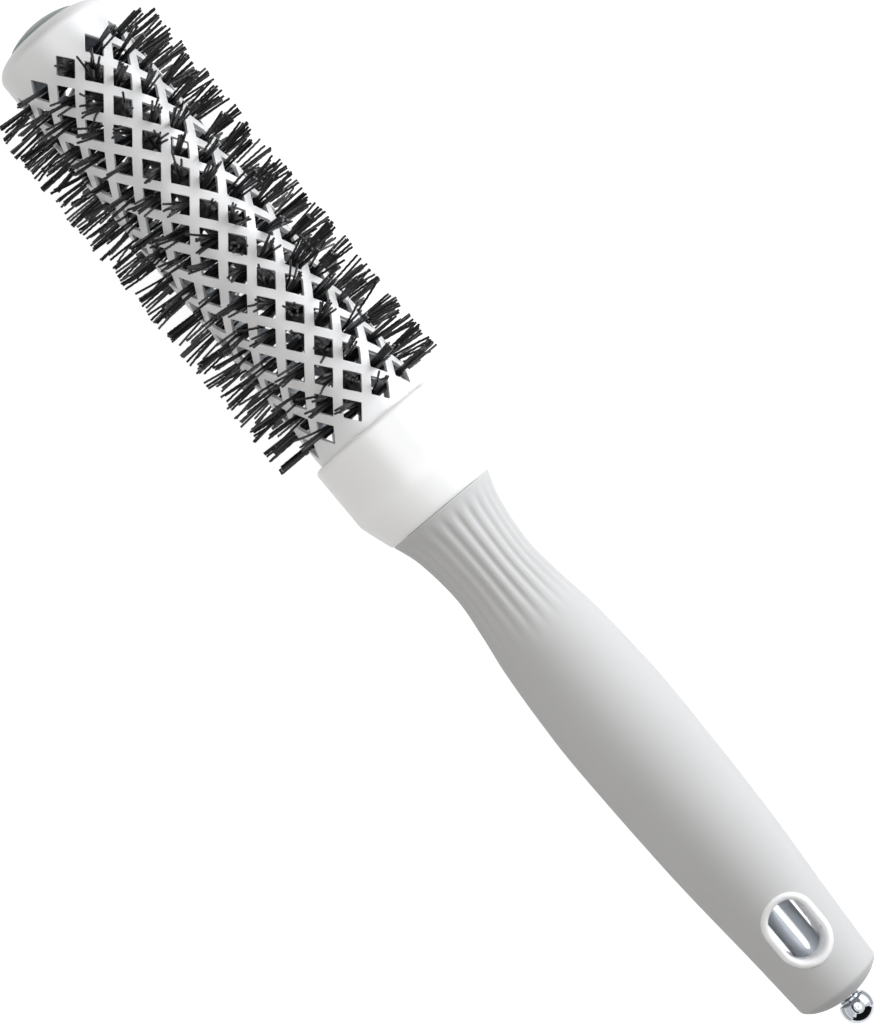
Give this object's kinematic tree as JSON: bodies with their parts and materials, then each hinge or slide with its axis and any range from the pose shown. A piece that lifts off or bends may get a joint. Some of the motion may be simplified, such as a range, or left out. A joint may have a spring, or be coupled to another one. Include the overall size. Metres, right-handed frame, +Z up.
{
  "type": "round barrel hair brush",
  "caption": "Round hair brush with a perforated tubular barrel, black nylon bristles, a collar, a waisted soft-touch handle with an oval window through it, and a pull-out sectioning pick.",
  "frame": {"origin": "centre of the flat on the tip plug's dome, on the brush's axis, at the end of the barrel", "axes": "+X along the brush from the tip to the ball of the pick, +Z up through the middle of the handle's window, the brush lying with its axis level"},
  "size_m": [0.2551, 0.0404, 0.0398],
  "materials": {
    "ceramic_white": "satin ceramic coat",
    "gloss_white": "gloss",
    "plug_grey": "satin",
    "black_nylon": "satin filament",
    "steel_wire": "drawn",
    "inner_nylon": "moulded",
    "core_white": "moulded",
    "soft_grey": "soft-touch matte",
    "chrome": "mirror polish",
    "black_rubber": "matte"
  },
  "bodies": {
    "brush": {"barrel_tube": "ceramic_white", "tip_plug": "plug_grey", "core_wire_a": "steel_wire", "core_wire_b": "steel_wire", "bristle_pack_1": "black_nylon", "bristle_pack_2": "black_nylon", "bristle_pack_3": "black_nylon", "bristle_pack_4": "black_nylon", "barrel_socket": "inner_nylon", "collar": "gloss_white", "handle_core": "core_white", "handle_grip": "soft_grey", "window_bezel": "gloss_white", "pick_sleeve": "chrome", "end_bush": "inner_nylon", "grip_ring": "black_rubber"},
    "pick": {"pick_rod": "chrome", "pick_ball": "chrome"}
  },
  "joints": [
    {"name": "pick_slide", "type": "slide", "parent": "brush", "child": "pick", "axis": [1, 0, 0], "range_m": [0, 0.07]}
  ]
}
